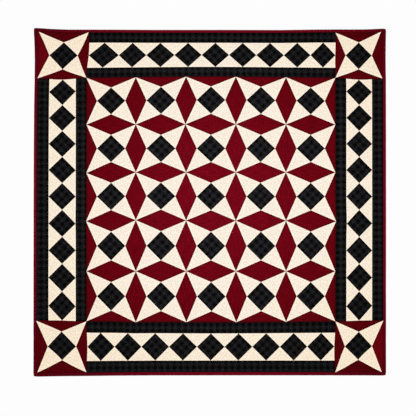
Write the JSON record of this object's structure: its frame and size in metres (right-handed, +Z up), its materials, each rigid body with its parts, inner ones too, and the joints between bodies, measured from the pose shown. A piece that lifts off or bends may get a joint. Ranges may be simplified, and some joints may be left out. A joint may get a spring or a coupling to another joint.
{
  "type": "quilted wall hanging",
  "caption": "Square pieced and quilted wall hanging: star blocks in dark red, cream and black check, a border of squares on point, and a narrow dark red binding.",
  "frame": {"origin": "middle of the bound top edge, where the hanging is held", "axes": "+Z up; the pieced front faces -Y and the back faces the wall, +Y; +X to the right as seen from the front"},
  "size_m": [1.0767, 0.0086, 1.0641],
  "materials": {
    "pieced_cotton": "matt plain woven cotton patchwork in cream, dark red and black check, quilted in the seams",
    "binding_cotton": "matt plain woven dark red cotton, folded double"
  },
  "bodies": {
    "root": {"quilted_panel": "pieced_cotton", "binding_top": "binding_cotton", "binding_bottom": "binding_cotton", "binding_left": "binding_cotton", "binding_right": "binding_cotton"}
  },
  "joints": []
}
